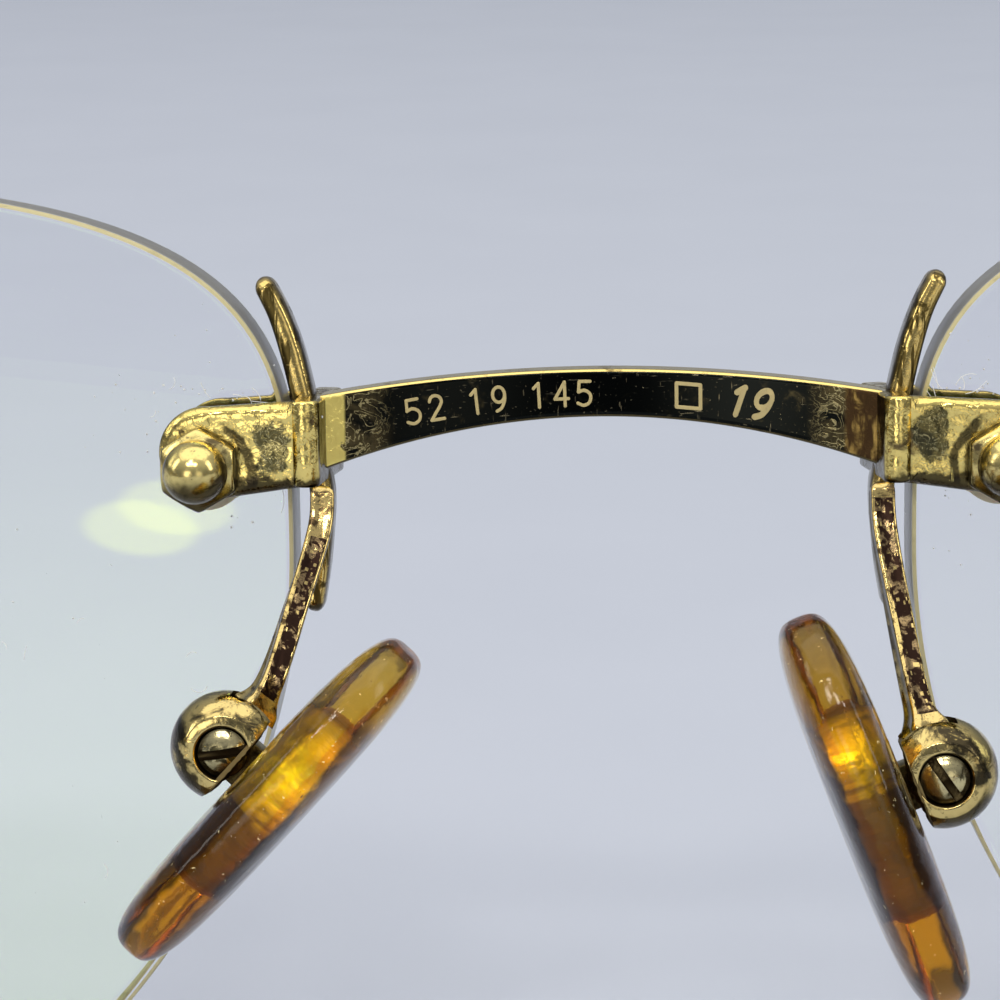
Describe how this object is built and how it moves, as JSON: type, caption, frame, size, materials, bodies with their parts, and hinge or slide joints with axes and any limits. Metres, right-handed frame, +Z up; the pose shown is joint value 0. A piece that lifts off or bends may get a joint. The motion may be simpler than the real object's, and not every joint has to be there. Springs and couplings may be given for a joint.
{
  "type": "rimless glasses",
  "caption": "Rimless glasses in clip-and-screw construction, with clear lenses, a bowed flat bridge, rocking nose pads on arms and folding temples.",
  "frame": {"origin": "centre of the bounding box's underside, which is the level surface the open glasses stand on", "axes": "+Z up, +Y the way the wearer looks, +X to the wearer's right; the temples run back along -Y"},
  "size_m": [0.1404, 0.1539, 0.0348],
  "materials": {
    "lens_glass": "clear",
    "gold": "polished, worn",
    "dull_gold": "satin, tarnished",
    "amber": "glossy, translucent",
    "tip_plastic": "glossy",
    "washer": "matte"
  },
  "bodies": {
    "front": {"left_lens": "lens_glass", "right_lens": "lens_glass", "bridge": "gold", "left_bridge_clip": "gold", "right_bridge_clip": "gold", "left_bridge_rest": "dull_gold", "right_bridge_rest": "dull_gold", "left_bridge_washers": "washer", "right_bridge_washers": "washer", "left_bridge_screw": "gold", "right_bridge_screw": "gold", "left_bridge_nut": "dull_gold", "right_bridge_nut": "dull_gold", "left_pad_arm": "gold", "right_pad_arm": "gold", "left_pad_box": "gold", "right_pad_box": "gold", "left_pad_screw": "gold", "right_pad_screw": "gold", "left_outer_clip": "gold", "right_outer_clip": "gold", "left_outer_rest": "dull_gold", "right_outer_rest": "dull_gold", "left_outer_washers": "washer", "right_outer_washers": "washer", "left_outer_screw": "gold", "right_outer_screw": "gold", "left_outer_nut": "dull_gold", "right_outer_nut": "dull_gold", "left_end_piece": "gold", "right_end_piece": "gold", "left_front_hinge": "gold", "right_front_hinge": "gold", "left_hinge_screw": "dull_gold", "right_hinge_screw": "dull_gold"},
    "left_arm": {"left_temple_hinge": "gold", "left_temple": "gold", "left_temple_tip": "tip_plastic"},
    "right_arm": {"right_temple_hinge": "gold", "right_temple": "gold", "right_temple_tip": "tip_plastic"},
    "left_nose_pad": {"left_pad_insert": "gold", "left_pad": "amber"},
    "right_nose_pad": {"right_pad_insert": "gold", "right_pad": "amber"}
  },
  "joints": [
    {"name": "left_temple_fold", "type": "hinge", "parent": "front", "child": "left_arm", "pos_m": [-0.0668, 0.06019, 0.02817], "axis": [0, 0, 1], "range_deg": [0, 90]},
    {"name": "right_temple_fold", "type": "hinge", "parent": "front", "child": "right_arm", "pos_m": [0.0668, 0.06019, 0.02817], "axis": [0, 0, -1], "range_deg": [0, 84]},
    {"name": "left_pad_rock", "type": "hinge", "parent": "front", "child": "left_nose_pad", "pos_m": [-0.0111, 0.06667, 0.01892], "axis": [0, 0.9903, -0.1392], "range_deg": [-10, 10]},
    {"name": "right_pad_rock", "type": "hinge", "parent": "front", "child": "right_nose_pad", "pos_m": [0.0099, 0.06654, 0.01803], "axis": [0, 0.9903, -0.1392], "range_deg": [-10, 10]}
  ]
}
